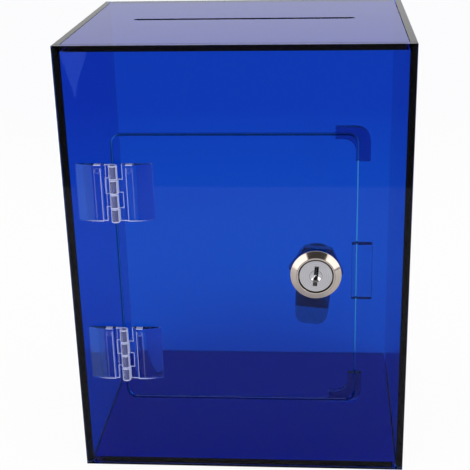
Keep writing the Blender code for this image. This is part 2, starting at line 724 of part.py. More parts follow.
def make_spring(name, height):
    """A compression spring along Y under the wafer's ear, as one helix."""
    rise = SPRING_LENGTH - 2 * SPRING_WIRE_RADIUS
    base = SPRING_TOP - SPRING_LENGTH + SPRING_WIRE_RADIUS
    count = SPRING_TURNS * SPRING_STEPS
    curve = bpy.data.curves.new(f"{name}_wire", "CURVE")
    curve.dimensions = "3D"
    curve.bevel_depth = SPRING_WIRE_RADIUS
    curve.bevel_resolution = 0
    curve.use_fill_caps = True
    spline = curve.splines.new("POLY")
    spline.points.add(count)
    for i, point in enumerate(spline.points):
        angle = 2 * math.pi * i / SPRING_STEPS
        point.co = (
            SPRING_X + SPRING_RADIUS * math.cos(angle),
            base + rise * i / count,
            SPRING_RADIUS * math.sin(angle),
            1,
        )
    mesh = mesh_from(bpy.data.objects.new(f"{name}_guide", curve))
    set_up(name, mesh, SPRING_STEEL, lock_axis, (0, 0, height), (0, 0, 0))


def make_stop_washer():
    """The washer whose tab meets the housing's two shoulders a quarter turn apart."""
    hole = rectangle(SHANK_WIDTH + 2 * SHANK_CLEARANCE, SHANK_WIDTH + 2 * SHANK_CLEARANCE)
    washer = flat_piece(
        "stop_washer", [circle(STOP_WASHER_RADIUS, LOCK_STEPS), hole], STOP_WASHER_THICKNESS,
        ZINC_PLATE, lock_axis, (0, 0, STOP_WASHER_TOP - STOP_WASHER_THICKNESS / 2),
    )
    tab_reach = STOP_WASHER_RADIUS - TAB_INNER_RADIUS
    tab_low = STOP_WASHER_TOP - STOP_WASHER_THICKNESS / 2
    tab_high = STOP_WASHER_TOP + TAB_LENGTH
    middle = (STOP_WASHER_RADIUS + TAB_INNER_RADIUS) / 2
    tab = block(
        "stop_washer_tab", (tab_reach, TAB_WIDTH, tab_high - tab_low),
        (middle * math.cos(TAB_ANGLE), middle * math.sin(TAB_ANGLE), (tab_high + tab_low) / 2),
        parent=lock_axis, rotation=(0, 0, TAB_ANGLE),
    )
    combine(washer, tab, "UNION")


def make_cam():
    """A cranked plate: its side view swept across, cut to its front view."""
    crank_end = CAM_CRANK_START + CAM_CRANK_RUN
    far, near = CAM_REACH + CUT_OVERRUN, -CAM_BASE_RADIUS - CUT_OVERRUN
    top = [(near, CAM_TOP), (CAM_CRANK_START, CAM_TOP), (crank_end, CAM_TIP_TOP),
           (far, CAM_TIP_TOP)]
    under = [(reach, height - CAM_THICKNESS) for reach, height in reversed(top)]
    cam = flat_piece(
        "cam", [top + under], 2 * CAM_BASE_RADIUS + CUT_OVERRUN, ZINC_PLATE, lock_axis,
        rotation=ALONG_CAM,
    )
    half_tip = CAM_TIP_WIDTH / 2
    tip_y = -(CAM_REACH - CAM_TIP_ROUND)
    inner = half_tip - CAM_TIP_ROUND
    outline = arc((0, 0), CAM_BASE_RADIUS, 0, math.pi, HINGE_STEPS)
    outline += arc((-inner, tip_y), CAM_TIP_ROUND, math.pi, 1.5 * math.pi, CURVE_STEPS)
    outline += arc((inner, tip_y), CAM_TIP_ROUND, 1.5 * math.pi, 2 * math.pi, CURVE_STEPS)
    depth = 2 * (CAM_THICKNESS - CAM_TOP)
    front_view = flat_piece("cam_front_view", [outline], depth, parent=lock_axis)
    combine(cam, front_view, "INTERSECT")
    width = SHANK_WIDTH + 2 * SHANK_CLEARANCE
    hole = block(
        "cam_square_hole", (width, width, CAM_THICKNESS + 2 * CUT_OVERRUN),
        (0, 0, CAM_TOP - CAM_THICKNESS / 2), parent=lock_axis,
    )
    combine(cam, hole)


def make_cam_screw():
    washer = flat_piece(
        "cam_spring_washer",
        [circle(SPRING_WASHER_RADIUS, HINGE_STEPS),
         circle(SCREW_RADIUS + SCREW_CLEARANCE, SMALL_STEPS)],
        SPRING_WASHER_THICKNESS, SPRING_STEEL, lock_axis,
        (0, 0, SPRING_WASHER_TOP - SPRING_WASHER_THICKNESS / 2),
    )
    slit = block(
        "spring_washer_slit",
        (SPRING_WASHER_RADIUS + CUT_OVERRUN, SPRING_WASHER_SLIT,
         SPRING_WASHER_THICKNESS + 2 * CUT_OVERRUN),
        ((SPRING_WASHER_RADIUS + CUT_OVERRUN) / 2, 0,
         SPRING_WASHER_TOP - SPRING_WASHER_THICKNESS / 2),
        parent=lock_axis,
    )
    combine(washer, slit)
    head_end = SCREW_SEAT - SCREW_HEAD_HEIGHT
    round_height = SCREW_HEAD_HEIGHT * SCREW_HEAD_ROUND_SHARE
    profile = [
        (0, SCREW_SEAT + SCREW_LENGTH), (SCREW_RADIUS, SCREW_SEAT + SCREW_LENGTH),
        (SCREW_RADIUS, SCREW_SEAT), (SCREW_HEAD_RADIUS, SCREW_SEAT),
    ]
    for i in range(CORNER_STEPS + 1):
        angle = math.pi / 2 * i / CORNER_STEPS
        profile.append((
            SCREW_HEAD_RADIUS * math.cos(angle),
            head_end + round_height * (1 - math.sin(angle)),
        ))
    profile[-1] = (0, head_end)
    screw = turned("cam_screw", profile, ZINC_PLATE, lock_axis, steps=SMALL_STEPS)
    for name, size in (
        ("upright", (CROSS_WIDTH, CROSS_LENGTH)), ("level", (CROSS_LENGTH, CROSS_WIDTH))
    ):
        cross = block(
            f"screw_cross_{name}", (*size, CROSS_DEPTH + CUT_OVERRUN),
            (0, 0, head_end + (CROSS_DEPTH - CUT_OVERRUN) / 2), parent=lock_axis,
        )
        combine(screw, cross)


clear_scene()
parts = new_collection("acrylic_money_box")
cutters = new_collection("cutters")
frame_axis = new_empty("hinge_axis_on_frame", (HINGE_X, HINGE_Y, 0))
door_axis = new_empty("door_swing_axis", (HINGE_X, HINGE_Y, 0))
lock_fixed = new_empty("lock_housing_axis", LOCK_PLACE, LOCK_AIM, door_axis)
lock_axis = new_empty("lock_turn_axis", LOCK_PLACE, LOCK_AIM, door_axis)

make_case()
make_corner_stops()
make_keeper()
make_door()
make_hinges()
make_housing()
make_nut_and_washer()
make_plug()
make_wafers()
make_stop_washer()
make_cam()
make_cam_screw()
bpy.context.view_layer.update()
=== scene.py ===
import math

import bmesh
import bpy
import numpy as np
from mathutils import Matrix, Vector


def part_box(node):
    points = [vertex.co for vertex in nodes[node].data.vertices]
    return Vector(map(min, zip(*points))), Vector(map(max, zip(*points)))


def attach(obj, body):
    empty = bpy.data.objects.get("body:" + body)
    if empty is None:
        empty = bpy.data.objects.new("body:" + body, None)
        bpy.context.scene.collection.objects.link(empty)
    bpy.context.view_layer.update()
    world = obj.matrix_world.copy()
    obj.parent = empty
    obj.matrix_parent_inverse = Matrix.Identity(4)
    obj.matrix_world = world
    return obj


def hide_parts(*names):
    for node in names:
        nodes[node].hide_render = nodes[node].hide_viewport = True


# Money box of blue cast acrylic sheet with clear moulded hinges and a cam lock.
# Lengths are in metres, angles in degrees and colours in sRGB hex, unless a note says otherwise.

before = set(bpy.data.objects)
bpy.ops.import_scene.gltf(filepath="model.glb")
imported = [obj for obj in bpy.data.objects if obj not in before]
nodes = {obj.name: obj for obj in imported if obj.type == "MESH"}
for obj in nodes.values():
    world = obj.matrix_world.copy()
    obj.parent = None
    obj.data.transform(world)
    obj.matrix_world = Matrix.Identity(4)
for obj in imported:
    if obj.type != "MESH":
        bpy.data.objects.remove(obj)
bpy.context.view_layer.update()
print("frame loaded:", len(nodes), "nodes")

acrylicIor = 1.49
noiseSpread = (0.3, 0.7)  # most of a noise's values lie between these


# Small helpers for materials

def toLinear(hexColour):
    # each sRGB byte as a share of 255, by the sRGB curve, to the linear value a shader takes
    shares = [int(hexColour[i:i + 2], 16) / 255 for i in (1, 3, 5)]
    linear = [s / 12.92 if s <= 0.04045 else ((s + 0.055) / 1.055) ** 2.4 for s in shares]
    return (*linear, 1.0)


def addNode(tree, kind, sockets=(), output=0, **settings):
    # a node with its settings and its sockets' values, in order or by name; a value that is
    # another node's output is linked
    node = tree.nodes.new(f"ShaderNode{kind}")
    for name, value in settings.items():
        setattr(node, name, value)
    named = sockets if isinstance(sockets, dict) else dict(enumerate(sockets))
    for name, value in named.items():
        if isinstance(value, bpy.types.NodeSocket):
            tree.links.new(value, node.inputs[name])
        else:
            node.inputs[name].default_value = value
    return node.outputs[output] if len(node.outputs) else None


def between(value, low, high):
    # what a compare node takes to give 1 from low to high and 0 elsewhere
    return [value, (low + high) / 2, (high - low) / 2]


def distanceTo(tree, value, point):
    # |value - point|
    offset = addNode(tree, "Math", [value, point], operation="SUBTRACT")
    return addNode(tree, "Math", [offset], operation="ABSOLUTE")


def overlap(tree, *masks):
    # 1 where every mask is 1: all of them multiplied
    whole = masks[0]
    for mask in masks[1:]:
        whole = addNode(tree, "Math", [whole, mask], operation="MULTIPLY")
    return whole


def passShadows(tree, surface, share):
    # a shadow ray goes straight through the surface and keeps this share of its light
    passing = addNode(tree, "BsdfTransparent", {"Color": (share, share, share, 1)})
    isShadow = addNode(tree, "LightPath", output="Is Shadow Ray")
    return addNode(tree, "MixShader", [isShadow, surface, passing])


def newMaterial(name):
    material = bpy.data.materials.new(name)
    material.use_nodes = True
    material.node_tree.nodes.clear()
    return material, material.node_tree


# Small helpers for pieces

def paint(obj, material):
    obj.data.materials.clear()
    obj.data.materials.append(material)


def linkPiece(name, mesh, body, replaced, material):
    obj = bpy.data.objects.new(name, mesh)
    bpy.context.scene.collection.objects.link(obj)
    paint(obj, material)
    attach(obj, body)
    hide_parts(*replaced)
    return obj


def smoothMesh(name, source, distance, sharpAngle, flatAngle=None):
    # a new mesh of the source's faces, with points as near as the distance joined and faces
    # that differ by less than the flat angle made one
    shape = bmesh.new()
    shape.from_mesh(source)
    bmesh.ops.remove_doubles(shape, verts=shape.verts, dist=distance)
    if flatAngle:
        bmesh.ops.dissolve_limit(
            shape, angle_limit=math.radians(flatAngle), verts=shape.verts, edges=shape.edges)
    mesh = bpy.data.meshes.new(name)
    shape.to_mesh(mesh)
    shape.free()
    mesh.shade_smooth()
    mesh.set_sharp_from_angle(angle=math.radians(sharpAngle))
    return mesh


# Blue sheets

caseLow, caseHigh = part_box("front_panel")[0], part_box("back_panel")[1]
plugLow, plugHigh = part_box("lock_plug")
lockCentre = (plugLow + plugHigh) / 2
frontY = caseLow.y

blueSheet = {
    "straightGloss": "#9C9CA2",  # it mirrors little of what stands before it
    "roughness": (0.0, 0.02),
    "absorbed": "#3ECDF7",
    "density": 1050,  # leaves 5 % of the red, 30 % of the green and 81 % of the blue in 3 mm
    "bottom": ("#3ECDF7", 780),  # painted light: made a shade lighter than the other sheets, so the dim floor under the box shows brighter through it
    "stops": ("#3ECDE9", 1000),  # and the corner stops are cut from a sheet of a duller blue
    "shadowPass": 0.99,
    "waveLength": 0.035,  # the long soft waves of cast sheet
    "waveDetail": 1.0,
    "waveHeight": 0.000004,
    "smearLength": 1 / 60,  # smears left by a cloth, about 17 mm wide
    "smearDetail": 5.0,
    "smearMix": 0.6,
    "smearSpread": (0.35, 0.75),
    "sheet": 0.003,
    "joint": 0.00045,  # how near a joint's plane a face has to lie to belong to it
    "slack": 0.00005,
    "hair": 0.00002,
    "outside": 0.0002,  # a face this near the box's own outline is no joint
    "doorRadius": 0.0038,
    "cut": (-0.0001, 0.0008),  # from the door's outline outwards, across the gap round it
    "cutRoughness": 0.4,
    "cutTint": "#5A64A8",
    "lowerReach": 0.0005,
    "gapShadeTint": "#1E2C88",  # painted shade: the cut faces in the gap under the door are painted dark, and pass little light
    # how opaque the painted shade in the gap and the painted highlight on the door's edge make
    # the sheet
    "paintedCover": 0.7,
    "arris": 0.0004,  # painted highlight: the door's lower front edge is painted pale as far up as this
    "arrisHighlightTint": "#2F3A8E",
}


def addJointMask(tree, place):
    # 1 on the faces that two cemented sheets share, 0 elsewhere: near the inner plane of the
    # front or back sheet but beyond the chamber, or near a side sheet's inner plane but level
    # with the top or bottom sheet
    wall, near, slack = (blueSheet[name] for name in ("sheet", "joint", "slack"))
    size, middle = (caseHigh - caseLow) / 2, (caseHigh + caseLow) / 2
    x, y, z = addNode(tree, "SeparateXYZ", [place]).node.outputs
    across = addNode(tree, "Math", [x], operation="ABSOLUTE")
    depth, height = distanceTo(tree, y, middle.y), distanceTo(tree, z, middle.z)
    atSide = addNode(tree, "Math", [across, size.x - wall + slack], operation="GREATER_THAN")
    atLevel = addNode(tree, "Math", [height, size.z - wall - slack], operation="GREATER_THAN")
    atFace = addNode(tree, "Math", [depth, size.y - wall, near], operation="COMPARE")
    atWall = addNode(tree, "Math", [across, size.x - wall, near], operation="COMPARE")
    beyond = addNode(tree, "Math", [atSide, atLevel], operation="MAXIMUM")
    shared = addNode(tree, "Math", [
        overlap(tree, atFace, beyond), overlap(tree, atWall, atLevel)], operation="MAXIMUM")
    inside = [addNode(tree, "Math", [value, limit - blueSheet["outside"]], operation="LESS_THAN")
              for value, limit in ((across, size.x), (height, size.z))]
    return overlap(tree, shared, *inside)


def addCutMask(tree, place):
    # 1 on the cut faces of the door and of its opening, 0 elsewhere: there the distance to the
    # door's rounded outline, max(q, 0) in length plus min(max(q), 0) less the radius with
    # q = |p - middle| - half size + radius, is small, and the depth lies within the sheet
    low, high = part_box("door_panel")
    radius, hair = blueSheet["doorRadius"], blueSheet["hair"]
    x, y, z = addNode(tree, "SeparateXYZ", [place]).node.outputs
    over = [
        addNode(tree, "Math", [
            distanceTo(tree, value, (least + most) / 2), (most - least) / 2 - radius],
            operation="SUBTRACT")
        for value, least, most in ((x, low.x, high.x), (z, low.z, high.z))]
    corner = addNode(tree, "CombineXYZ", [
        addNode(tree, "Math", [value, 0.0], operation="MAXIMUM") for value in over])
    beyond = addNode(tree, "VectorMath", [corner], "Value", operation="LENGTH")
    within = addNode(tree, "Math", over, operation="MAXIMUM")
    within = addNode(tree, "Math", [within, 0.0], operation="MINIMUM")
    distance = addNode(tree, "Math", [beyond, within], operation="ADD")
    distance = addNode(tree, "Math", [distance, radius], operation="SUBTRACT")
    inSheet = between(y, low.y + hair, low.y + blueSheet["sheet"] - hair)
    return overlap(
        tree, addNode(tree, "Math", between(distance, *blueSheet["cut"]), operation="COMPARE"),
        addNode(tree, "Math", inSheet, operation="COMPARE"))


def addPaintedGapMasks(tree, place, cut):
    # 1 on the cut faces under the door, which get a painted shade, and 1 on the edge along the
    # door's lower front, which gets a painted highlight
    low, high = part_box("door_panel")
    radius, slack = blueSheet["doorRadius"], blueSheet["slack"]
    x, y, z = addNode(tree, "SeparateXYZ", [place]).node.outputs
    under = addNode(tree, "Math", [z, low.z + blueSheet["lowerReach"]], operation="LESS_THAN")
    alongEdge = [
        addNode(tree, "Math", test, operation="COMPARE")
        for test in (between(z, low.z - slack, low.z + blueSheet["arris"]),
                     between(x, low.x + radius, high.x - radius))]
    inFront = addNode(tree, "Math", [y, low.y + blueSheet["hair"]], operation="LESS_THAN")
    return overlap(tree, cut, under), overlap(tree, inFront, *alongEdge)


def makeBlueAcrylic(name, absorbed, density):
    # Cast acrylic sheet, dyed right through: glass-clear and deep, darker the longer the way
    # through it, so that the walls' ends look black. The cemented joints don't show.
    s = blueSheet
    material, tree = newMaterial(name)
    place = addNode(tree, "TexCoord", output="Object")
    wave = addNode(tree, "TexNoise", {
        "Vector": place, "Scale": 1 / s["waveLength"], "Detail": s["waveDetail"]})
    smear = addNode(tree, "TexNoise", {
        "Vector": place, "Scale": 1 / s["smearLength"], "Detail": s["smearDetail"],
        "Roughness": s["smearMix"]})
    cut = addCutMask(tree, place)
    lower, paintedHighlight = addPaintedGapMasks(tree, place, cut)
    rough = addNode(tree, "MapRange", [smear, *s["smearSpread"], *s["roughness"]])
    rough = addNode(tree, "Mix", {0: cut, 2: rough, 3: s["cutRoughness"]}, data_type="FLOAT")
    tint = toLinear("#FFFFFF")
    # the cut faces' tint, then a painted shade on the faces under the door and a painted
    # highlight on its lower front edge
    for mask, colour in ((cut, s["cutTint"]), (lower, s["gapShadeTint"]), (paintedHighlight, s["arrisHighlightTint"])):
        tint = addNode(
            tree, "Mix", {0: mask, 6: tint, 7: toLinear(colour)}, 2, data_type="RGBA")
    # both painted marks are made partly opaque
    paintedMarks = addNode(tree, "Math", [lower, paintedHighlight], operation="MAXIMUM")
    paintedCover = addNode(tree, "Math", [paintedMarks, s["paintedCover"]], operation="MULTIPLY")
    shader = addNode(tree, "BsdfPrincipled", {
        "Base Color": tint, "Roughness": rough, "IOR": acrylicIor,
        "Specular Tint": toLinear(s["straightGloss"]),
        "Transmission Weight": addNode(tree, "Math", [1.0, paintedCover], operation="SUBTRACT"),
        "Normal": addNode(tree, "Bump", {
            "Height": wave, "Strength": 1.0, "Distance": s["waveHeight"]})})
    welded = addNode(tree, "BsdfTransparent", {"Color": (1, 1, 1, 1)})
    joined = addNode(tree, "MixShader", [addJointMask(tree, place), shader, welded])
    addNode(tree, "OutputMaterial", {
        "Surface": passShadows(tree, joined, s["shadowPass"]),
        "Volume": addNode(tree, "VolumeAbsorption", {
            "Color": toLinear(absorbed), "Density": density})})
    return material


# Clear plastic

clearMoulding = {
    "tint": "#F4F5FA",
    "straightGloss": "#34343A",
    "roughness": (0.02, 0.09),
    "shadowPass": 0.96,
    "rippleLength": 0.004,
    "rippleDetail": 2.0,
    "rippleHeight": 0.00002,
    # painted highlights: white lines painted where the moulding's edges catch the light, in
    # millimetres from the hinge's own middle; a line's last number is its strength
    "perMetre": 1000.0,
    "paintedEdgeColour": "#C6CEF6",
    "bloomColour": "#6FA0E6",
    "edgeRoughness": 0.4,
    "height": 25.4,
    "pitch": 6.425,  # from one knuckle's end to the next one's
    "knuckle": 6.125,
    "barrel": 1.95,
    "barrelSide": (1.35, 0.75),  # how far out the white side line starts
    "knuckleEnd": (0.4, 0.85),  # how wide the white line at an end is
    "notch": (3.5, 3.85, 0.75),
    "webEnd": (0.28, 0.7),
    "ridgeInner": (5.3, 5.7, 0.5),
    "ridgeOuter": (8.1, 8.4, 0.18),
    "ridgeBelow": 1.4,  # the ridges' side lines start this far below the hinge's top
    "ridgeTop": (0.35, 0.8),
    "foot": 0.4,
    "footFade": (5.0, 14.0, 0.85, 0.05),  # from here to there outwards, and its strengths
    # a faint painted glow on the leaf beyond this far to the left, and its strength
    "bloom": (9.2, 0.1),
    "bloomLimit": 0.11,  # what is no stronger than this takes the bloom's colour
    "markMiddle": (6.9, 10.1),
    "markRing": (0.9, 1.2, 0.2),
    "glued": 2.5,  # nothing looks white as deep as the glued back
}

cutSheet = {
    "tint": "#FAFBFC",
    "roughness": (0.0, 0.02),
    # painted dark reflection: the colour painted on the sheet's edges
    "paintedEdgeColour": "#16205A",
    "edgeRoughness": 0.5,
    "sides": 0.3,  # how much of that colour the upright edges show
    "depth": 0.0002,  # how near the outline a face has to lie
}

pinValues = {
    "colours": ("#7A82BC", "#666EAA"),
    "cloudLength": 1 / 900,  # clouds of about 1 mm
    "cloudDetail": 2.0,
    "roughness": 0.4,
    "clear": 0.3,
}


def addMouldedEdgeHighlights(tree, place, middle):
    # how much painted highlight each place of a hinge gets, and that highlight's colour: along
    # the knuckles' outlines, the notches beside them, the ridges' inner corners and the leaves'
    # feet. A knuckle of an even count belongs to the right leaf, so the left leaf has its notch
    # there.
    c = clearMoulding
    local = addNode(tree, "VectorMath", [place, middle], operation="SUBTRACT")
    local = addNode(tree, "VectorMath", {0: local, "Scale": c["perMetre"]}, operation="SCALE")
    u, depth, v = addNode(tree, "SeparateXYZ", [local]).node.outputs
    aside = addNode(tree, "Math", [u], operation="ABSOLUTE")
    top = c["height"] / 2
    down = addNode(tree, "Math", [top, v], operation="SUBTRACT")
    count = addNode(tree, "Math", [down, c["pitch"]], operation="DIVIDE")
    count = addNode(tree, "Math", [count], operation="FLOOR")
    passed = addNode(tree, "Math", [count, c["pitch"]], operation="MULTIPLY")
    along = addNode(tree, "Math", [down, passed], operation="SUBTRACT")
    fromEnd = addNode(
        tree, "Math", [along, distanceTo(tree, along, c["knuckle"])], operation="MINIMUM")
    # 0 on the first and third knuckle
    odd = addNode(tree, "Math", [count, 2.0], operation="MODULO")
    right = addNode(tree, "Math", [u, 0.0], operation="GREATER_THAN")
    toMark = addNode(tree, "CombineXYZ", [
        addNode(tree, "Math", [value, point], operation="SUBTRACT")
        for value, point in zip((aside, v), c["markMiddle"])])
    toMark = addNode(tree, "VectorMath", [toMark], "Value", operation="LENGTH")
    footFade = addNode(tree, "MapRange", [aside, *c["footFade"]])

    # each line's strength, and the tests that a place on it passes
    less, more, alike = "LESS_THAN", "GREATER_THAN", "COMPARE"
    # a notch faces the knuckles of the other leaf
    facing = (more, [distanceTo(tree, right, odd), 0.5])
    below = (less, [v, top - c["ridgeBelow"]])
    lines = [
        (c["knuckleEnd"][1],
         (less, [aside, c["barrel"]]), (less, [fromEnd, c["knuckleEnd"][0]])),
        (c["barrelSide"][1], (alike, between(aside, c["barrelSide"][0], c["barrel"]))),
        (c["notch"][2], (alike, between(aside, *c["notch"][:2])), facing),
        (c["webEnd"][1],
         (alike, between(aside, c["barrel"], c["notch"][1])),
         (less, [fromEnd, c["webEnd"][0]])),
        (c["ridgeInner"][2], (alike, between(aside, *c["ridgeInner"][:2])), below),
        (c["ridgeOuter"][2], (alike, between(aside, *c["ridgeOuter"][:2])), below),
        (footFade, (less, [v, c["foot"] - top]), (more, [aside, c["notch"][0]])),
        (c["ridgeTop"][1],
         (more, [v, top - c["ridgeTop"][0]]),
         (alike, between(aside, c["ridgeInner"][0], c["ridgeOuter"][1]))),
        (c["markRing"][2], (alike, between(toMark, *c["markRing"][:2]))),
        (c["bloom"][1], (less, [u, -c["bloom"][0]])),
    ]
    strongest = 0.0
    for strength, *tests in lines:
        marks = [addNode(tree, "Math", values, operation=test) for test, values in tests]
        strongest = addNode(
            tree, "Math", [overlap(tree, *marks, strength), strongest], operation="MAXIMUM")
    inFront = addNode(tree, "Math", [depth, c["glued"]], operation="LESS_THAN")
    inBloom = addNode(tree, "Math", [strongest, c["bloomLimit"]], operation="LESS_THAN")
    colour = addNode(tree, "Mix", {
        0: inBloom, 6: toLinear(c["paintedEdgeColour"]), 7: toLinear(c["bloomColour"])},
        2, data_type="RGBA")
    return overlap(tree, strongest, inFront), colour


def addPaintedDarkEdges(tree, place, low, high):
    # 1 on a sheet's upper and lower edges, less on its upright ones and 0 on its faces, and the
    # colour of the dark reflection painted there
    x, y, z = addNode(tree, "SeparateXYZ", [place]).node.outputs
    shares = []
    for value, least, most, share in (
            (x, low.x, high.x, cutSheet["sides"]), (z, low.z, high.z, 1.0)):
        atEnd = addNode(tree, "Math", [
            distanceTo(tree, value, (least + most) / 2),
            (most - least) / 2 - cutSheet["depth"]], operation="GREATER_THAN")
        shares.append(overlap(tree, atEnd, share))
    return (addNode(tree, "Math", shares, operation="MAXIMUM"),
            toLinear(cutSheet["paintedEdgeColour"]))


def makeClearPlastic(name, values, addEdges, *where):
    # Injection-moulded clear acrylic: glossy, with faint flow ripples that catch the light. On a
    # hinge, white highlights are painted on the rounded edges and round a mould mark. Cut from
    # sheet, its edges get a painted dark reflection.
    c = clearMoulding
    material, tree = newMaterial(name)
    place = addNode(tree, "TexCoord", output="Object")
    ripple = addNode(tree, "TexNoise", {
        "Vector": place, "Scale": 1 / c["rippleLength"], "Detail": c["rippleDetail"]})
    clear = addNode(tree, "BsdfPrincipled", {
        "Base Color": toLinear(values["tint"]),
        "Roughness": addNode(tree, "MapRange", [ripple, *noiseSpread, *values["roughness"]]),
        "IOR": acrylicIor, "Specular Tint": toLinear(c["straightGloss"]),
        "Transmission Weight": 1.0,
        "Normal": addNode(tree, "Bump", {
            "Height": ripple, "Strength": 1.0, "Distance": c["rippleHeight"]})})
    share, colour = addEdges(tree, place, *where)
    # the painted highlights on a hinge, and the painted dark reflection on a sheet's edges
    edge = addNode(tree, "BsdfPrincipled", {
        "Base Color": colour, "Roughness": values["edgeRoughness"], "IOR": acrylicIor})
    surface = addNode(tree, "MixShader", [share, clear, edge])
    addNode(tree, "OutputMaterial", [passShadows(tree, surface, c["shadowPass"])])
    return material


def makeMilkyPlastic():
    # The hinge pins: cloudy plastic, a grey core in the clear knuckles.
    material, tree = newMaterial("cloudyPinPlastic")
    cloud = addNode(tree, "TexNoise", {
        "Vector": addNode(tree, "TexCoord", output="Object"),
        "Scale": 1 / pinValues["cloudLength"], "Detail": pinValues["cloudDetail"]})
    first, second = (toLinear(colour) for colour in pinValues["colours"])
    shader = addNode(tree, "BsdfPrincipled", {
        "Base Color": addNode(
            tree, "Mix", {0: cloud, 6: first, 7: second}, 2, data_type="RGBA"),
        "Roughness": pinValues["roughness"], "IOR": acrylicIor,
        "Transmission Weight": pinValues["clear"]})
    addNode(tree, "OutputMaterial", [shader])
    return material


# Metal

turnedFace = {
    "centre": lockCentre,
    "acrossAxis": (1.0, 0.0, 1.0),
    "ringSpacing": 0.0009,  # real turning marks lie closer and wouldn't show at this size
    "ringHeight": 0.000004,
    "ringTone": 0.5,  # how far the turning marks shift the tone
    "dishRadius": 0.0027,
    "dishRoughness": 0.08,
    "dishEdge": (0.00255, 0.0028),
    "dishEdgeColour": "#84848A",
    "grooveStart": 0.00725,
    # painted shade: the groove round the plug's face is painted near-black
    "grooveShadeColour": "#161618",
}

metalGrain = {
    "patchLength": 0.004,
    "patchDetail": 4.0,
    "grainDetail": 3.0,
}

# each metal's two tones, its roughness, its grain's length and height, and its turned face;
# real grain is finer, and is drawn this coarse to show
platedMetals = {
    # the bezel: warm and nearly a mirror
    "brightNickelPlate": (("#C6BCB4", "#B7AEA7"), (0.08, 0.15), 0.0004, 0.0000005),
    # the plug: cooler, with a soft sheen
    "satinTurnedNickel": (("#CACACF", "#B7B7BE"), (0.26, 0.36), 0.0003, 0.000001, turnedFace),
    # the cam and what holds it: bluish grey to yellowish grey
    "brightZincPlate": (("#B9BEC4", "#A9A9A2"), (0.25, 0.4), 0.0005, 0.000002),
    # the wafers: a darker, yellowish grey
    "stampedNickelSilver": (("#A8A7A2", "#8F8E8A"), (0.25, 0.4), 0.0003, 0.000002),
    # the springs: dark plain steel
    "drawnSpringSteel": (("#9A9CA0", "#85878C"), (0.25, 0.35), 0.0002, 0.000001),
}


def makePlatedMetal(name, colours, roughness, grainLength, grainHeight, turned=None):
    # Plated metal: two near tones in soft patches and a fine grain in the gloss. A turned face
    # has fine rings round the lock's axis, a polished dish and painted shade in the groove round
    # the plug.
    m = metalGrain
    material, tree = newMaterial(name)
    place = addNode(tree, "TexCoord", output="Object")
    tone = addNode(tree, "TexNoise", {
        "Vector": place, "Scale": 1 / m["patchLength"], "Detail": m["patchDetail"]})
    grain = addNode(tree, "TexNoise", {
        "Vector": place, "Scale": 1 / grainLength, "Detail": m["grainDetail"]})
    rough = addNode(tree, "MapRange", [grain, *noiseSpread, *roughness])
    normal = addNode(tree, "Bump", {"Height": grain, "Strength": 1.0, "Distance": grainHeight})
    marks = []
    if turned:
        flat = addNode(tree, "VectorMath", [place, turned["centre"]], operation="SUBTRACT")
        flat = addNode(tree, "VectorMath", [flat, turned["acrossAxis"]], operation="MULTIPLY")
        reach = addNode(tree, "VectorMath", [flat], "Value", operation="LENGTH")
        rings = addNode(
            tree, "Math", [reach, 2 * math.pi / turned["ringSpacing"]], operation="MULTIPLY")
        rings = addNode(tree, "Math", [rings], operation="SINE")
        shift = addNode(tree, "Math", [rings, turned["ringTone"]], operation="MULTIPLY")
        tone = addNode(tree, "Math", [tone, shift], operation="ADD")
        normal = addNode(tree, "Bump", {
            "Height": rings, "Strength": 1.0, "Distance": turned["ringHeight"],
            "Normal": normal})
        inDish = addNode(tree, "Math", [reach, turned["dishRadius"]], operation="LESS_THAN")
        rough = addNode(
            tree, "Mix", {0: inDish, 2: rough, 3: turned["dishRoughness"]}, data_type="FLOAT")
        # a darker ring at the dish's edge, and painted shade in the groove
        marks = [("COMPARE", between(reach, *turned["dishEdge"]), turned["dishEdgeColour"]),
                 ("GREATER_THAN", [reach, turned["grooveStart"]], turned["grooveShadeColour"])]
    first, second = (toLinear(colour) for colour in colours)
    colour = addNode(tree, "Mix", {0: tone, 6: first, 7: second}, 2, data_type="RGBA")
    for test, values, tint in marks:
        mask = addNode(tree, "Math", values, operation=test)
        colour = addNode(
            tree, "Mix", {0: mask, 6: colour, 7: toLinear(tint)}, 2, data_type="RGBA")
    shader = addNode(tree, "BsdfPrincipled", {
        "Base Color": colour, "Metallic": 1.0, "Roughness": rough, "Normal": normal})
    addNode(tree, "OutputMaterial", [shader])
    return material


blueAcrylic = makeBlueAcrylic("blueCastAcrylic", blueSheet["absorbed"], blueSheet["density"])
# painted light: the bottom gets a lighter copy of the blue sheet, so the shaded floor under the
# box shows brighter through it
brightenedBottomAcrylic = makeBlueAcrylic("bottomPaintedLightAcrylic", *blueSheet["bottom"])
dullAcrylic = makeBlueAcrylic("dullerBlueCastAcrylic", *blueSheet["stops"])
hingePlastic = {}
for place in ("upper", "lower"):
    pinLow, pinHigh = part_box(f"{place}_hinge_pin")
    hingePlastic[place] = makeClearPlastic(
        f"{place}HingeMouldedAcrylic", clearMoulding, addMouldedEdgeHighlights,
        tuple((pinLow + pinHigh) / 2))
# the keeper plate gets a painted dark reflection on its edges
clearSheet = makeClearPlastic(
    "clearAcrylicSheet", cutSheet, addPaintedDarkEdges, *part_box("keeper_plate"))
pinPlastic = makeMilkyPlastic()
metals = {name: makePlatedMetal(name, *values) for name, values in platedMetals.items()}
print("materials made")


# CAD pieces whose shape is right keep it and get their finish

